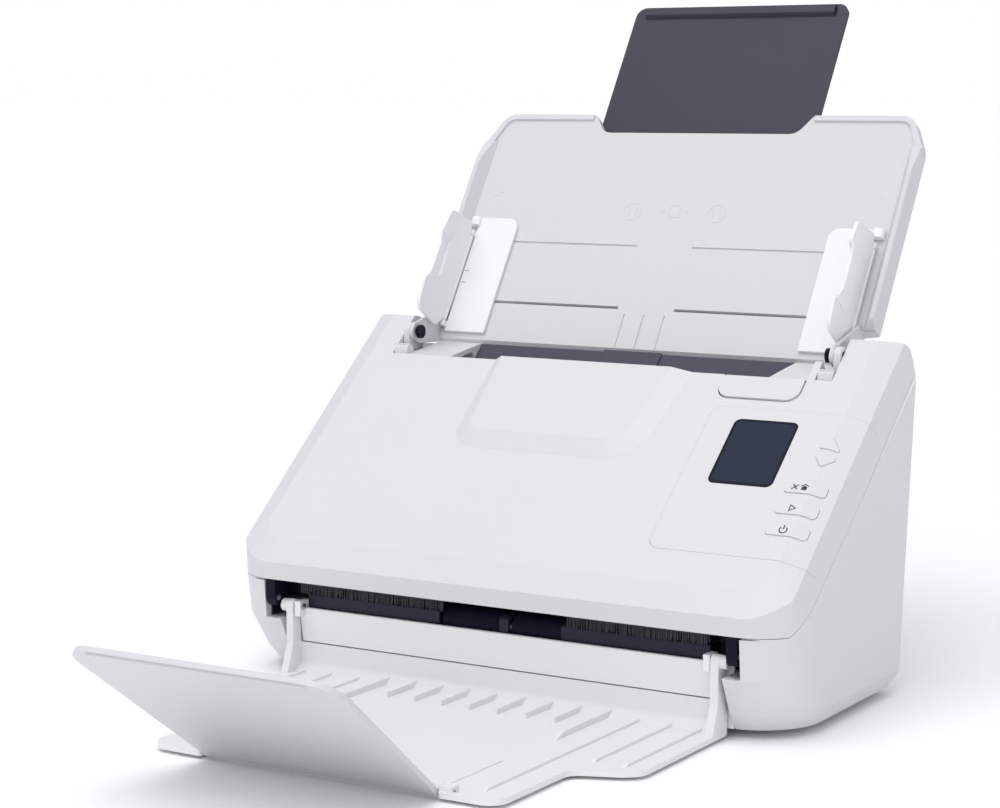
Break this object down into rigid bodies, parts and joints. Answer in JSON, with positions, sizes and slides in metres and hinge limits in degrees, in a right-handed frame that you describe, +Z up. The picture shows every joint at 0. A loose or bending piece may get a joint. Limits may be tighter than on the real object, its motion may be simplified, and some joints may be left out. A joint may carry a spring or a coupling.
{
  "type": "sheet fed document scanner",
  "caption": "Desktop document scanner with a rear paper chute, sloped opening cover with control panel, and a fold-down exit tray with flip-up stopper.",
  "frame": {"origin": "on the desk plane, below the middle of the lower body", "axes": "+X to the right seen from the front, +Y towards the back, +Z up; the exit tray points along -Y"},
  "size_m": [0.3166, 0.4925, 0.3393],
  "materials": {
    "shell_white": "satin",
    "cover_white": "satin",
    "black_plastic": "matte",
    "smoke_grey": "gloss",
    "chute_white": "satin",
    "grey_plastic": "matte",
    "dark_grey": "matte",
    "display_blue": "gloss",
    "roller_rubber": "matte",
    "steel": "satin",
    "clear_glass": "clear",
    "board_green": "matte",
    "brush_fibre": "matte",
    "foot_rubber": "matte",
    "belt_rubber": "matte"
  },
  "bodies": {
    "lower_body": {"base_shell": "shell_white", "front_panel": "shell_white", "rear_cover": "shell_white", "main_board": "board_green", "rear_ports": "dark_grey", "entry_ledges": "shell_white", "entry_throat": "dark_grey", "lower_guide": "dark_grey", "lower_scan_unit": "black_plastic", "lower_scan_glass": "clear_glass", "rubber_feet": "foot_rubber", "hinge_pins": "steel", "exit_guide": "black_plastic", "chute_posts": "shell_white", "chute_pivots": "black_plastic", "motor_body": "steel", "roller_brackets": "steel", "drive_belt": "belt_rubber"},
    "feed_drive": {"feed_shaft": "steel", "feed_roller": "roller_rubber"},
    "transport_drive": {"transport_shaft": "steel", "transport_roller": "roller_rubber"},
    "exit_drive": {"exit_shaft": "steel", "exit_rollers": "roller_rubber"},
    "idler": {"idler_gear": "grey_plastic"},
    "motor_shaft": {"motor_pinion": "grey_plastic"},
    "cover": {"front_cover": "cover_white", "control_panel": "cover_white", "display_glass": "display_blue", "panel_board": "board_green", "badge_plate": "cover_white", "cover_hinges": "black_plastic", "exit_brush_left": "brush_fibre", "exit_brush_right": "brush_fibre", "upper_guide": "dark_grey", "upper_scan_unit": "black_plastic", "upper_scan_glass": "clear_glass", "roller_holders": "dark_grey"},
    "separation": {"separation_roller": "roller_rubber"},
    "pinch": {"pinch_rollers": "roller_rubber"},
    "exit_pinch": {"exit_idlers": "roller_rubber"},
    "power_button": {"power_key": "cover_white"},
    "start_button": {"start_key": "cover_white"},
    "cancel_button": {"cancel_key": "cover_white"},
    "up_button": {"up_key": "cover_white"},
    "down_button": {"down_key": "cover_white"},
    "latch": {"release_latch": "cover_white"},
    "tray": {"exit_tray": "cover_white", "tray_pads": "foot_rubber", "stopper_pin": "steel"},
    "stopper": {"tray_stopper": "cover_white"},
    "chute": {"paper_chute": "chute_white", "chute_back": "shell_white", "chute_screws": "steel"},
    "extension": {"chute_extension": "smoke_grey"},
    "left_guide": {"guide_left": "cover_white"},
    "right_guide": {"guide_right": "cover_white"},
    "left_fence": {"fence_left": "cover_white"},
    "right_fence": {"fence_right": "cover_white"},
    "rack_pinion": {"guide_pinion": "grey_plastic"}
  },
  "joints": [
    {"name": "cover_hinge", "type": "hinge", "parent": "lower_body", "child": "cover", "pos_m": [0, -0.0645, 0.041], "axis": [1, 0, 0], "range_deg": [0, 90]},
    {"name": "tray_hinge", "type": "hinge", "parent": "lower_body", "child": "tray", "pos_m": [0, -0.0615, 0.037], "axis": [1, 0, 0], "range_deg": [-125, 0]},
    {"name": "stopper_hinge", "type": "hinge", "parent": "tray", "child": "stopper", "pos_m": [0, -0.2036, 0.0042], "axis": [1, 0, 0], "range_deg": [-142, 33]},
    {"name": "chute_hinge", "type": "hinge", "parent": "lower_body", "child": "chute", "pos_m": [0, 0.0558, 0.1651], "axis": [1, 0, 0], "range_deg": [0, 95]},
    {"name": "extension_slide", "type": "slide", "parent": "chute", "child": "extension", "axis": [0, 0.5402, 0.8415], "range_m": [-0.056, 0]},
    {"name": "right_guide_slide", "type": "slide", "parent": "chute", "child": "right_guide", "axis": [1, 0, 0], "range_m": [-0.066, 0]},
    {"name": "left_guide_slide", "type": "slide", "parent": "chute", "child": "left_guide", "axis": [1, 0, 0], "range_m": [0, 0.066]},
    {"name": "guide_pinion_spin", "type": "hinge", "parent": "chute", "child": "rack_pinion", "pos_m": [0, 0.09541, 0.17595], "axis": [0, -0.8415, 0.5402], "range_deg": [-1051, 0]},
    {"name": "right_fence_fold", "type": "hinge", "parent": "right_guide", "child": "right_fence", "pos_m": [0.1185, 0.08641, 0.18173], "axis": [0, 0.5402, 0.8415], "range_deg": [-80, 0]},
    {"name": "left_fence_fold", "type": "hinge", "parent": "left_guide", "child": "left_fence", "pos_m": [-0.1185, 0.08641, 0.18173], "axis": [0, 0.5402, 0.8415], "range_deg": [0, 80]},
    {"name": "feed_roller_spin", "type": "hinge", "parent": "lower_body", "child": "feed_drive", "pos_m": [0, 0.04738, 0.11521], "axis": [1, 0, 0], "continuous": true},
    {"name": "transport_roller_spin", "type": "hinge", "parent": "lower_body", "child": "transport_drive", "pos_m": [0, 0.02593, 0.09722], "axis": [1, 0, 0], "continuous": true},
    {"name": "exit_roller_spin", "type": "hinge", "parent": "lower_body", "child": "exit_drive", "pos_m": [0, -0.0475, 0.0368], "axis": [1, 0, 0], "continuous": true},
    {"name": "idler_gear_spin", "type": "hinge", "parent": "lower_body", "child": "idler", "pos_m": [0, 0.04392, 0.09755], "axis": [1, 0, 0], "continuous": true},
    {"name": "motor_spin", "type": "hinge", "parent": "lower_body", "child": "motor_shaft", "pos_m": [0, 0.0393, 0.08433], "axis": [1, 0, 0], "continuous": true},
    {"name": "separation_roller_spin", "type": "hinge", "parent": "cover", "child": "separation", "pos_m": [0, 0.03587, 0.12893], "axis": [1, 0, 0], "continuous": true},
    {"name": "pinch_roller_spin", "type": "hinge", "parent": "cover", "child": "pinch", "pos_m": [0, 0.01699, 0.10786], "axis": [1, 0, 0], "continuous": true},
    {"name": "exit_idler_spin", "type": "hinge", "parent": "cover", "child": "exit_pinch", "pos_m": [0, -0.0495, 0.0508], "axis": [1, 0, 0], "continuous": true},
    {"name": "power_key_press", "type": "slide", "parent": "cover", "child": "power_button", "axis": [0, 0.6428, -0.766], "range_m": [0, 0.0008], "stiffness_N_per_m": 400},
    {"name": "start_key_press", "type": "slide", "parent": "cover", "child": "start_button", "axis": [0, 0.6428, -0.766], "range_m": [0, 0.0008], "stiffness_N_per_m": 400},
    {"name": "cancel_key_press", "type": "slide", "parent": "cover", "child": "cancel_button", "axis": [0, 0.6428, -0.766], "range_m": [0, 0.0008], "stiffness_N_per_m": 400},
    {"name": "up_key_press", "type": "slide", "parent": "cover", "child": "up_button", "axis": [0, 0.6428, -0.766], "range_m": [0, 0.0008], "stiffness_N_per_m": 400},
    {"name": "down_key_press", "type": "slide", "parent": "cover", "child": "down_button", "axis": [0, 0.6428, -0.766], "range_m": [0, 0.0008], "stiffness_N_per_m": 400},
    {"name": "latch_hinge", "type": "hinge", "parent": "cover", "child": "latch", "pos_m": [0, 0.04146, 0.14902], "axis": [1, 0, 0], "range_deg": [-18, 0], "stiffness_Nm_per_rad": 0.15}
  ],
  "couplings": [
    {"joint": "left_guide_slide", "follows": "right_guide_slide", "ratio": -1},
    {"joint": "guide_pinion_spin", "follows": "right_guide_slide", "rad_per_m": 277.78},
    {"joint": "transport_roller_spin", "follows": "feed_roller_spin", "ratio": 1},
    {"joint": "exit_roller_spin", "follows": "feed_roller_spin", "ratio": 1},
    {"joint": "idler_gear_spin", "follows": "feed_roller_spin", "ratio": -1},
    {"joint": "motor_spin", "follows": "feed_roller_spin", "ratio": 1.8},
    {"joint": "separation_roller_spin", "follows": "feed_roller_spin", "ratio": -0.94444},
    {"joint": "pinch_roller_spin", "follows": "feed_roller_spin", "ratio": -1.7},
    {"joint": "exit_idler_spin", "follows": "feed_roller_spin", "ratio": -1.7}
  ]
}
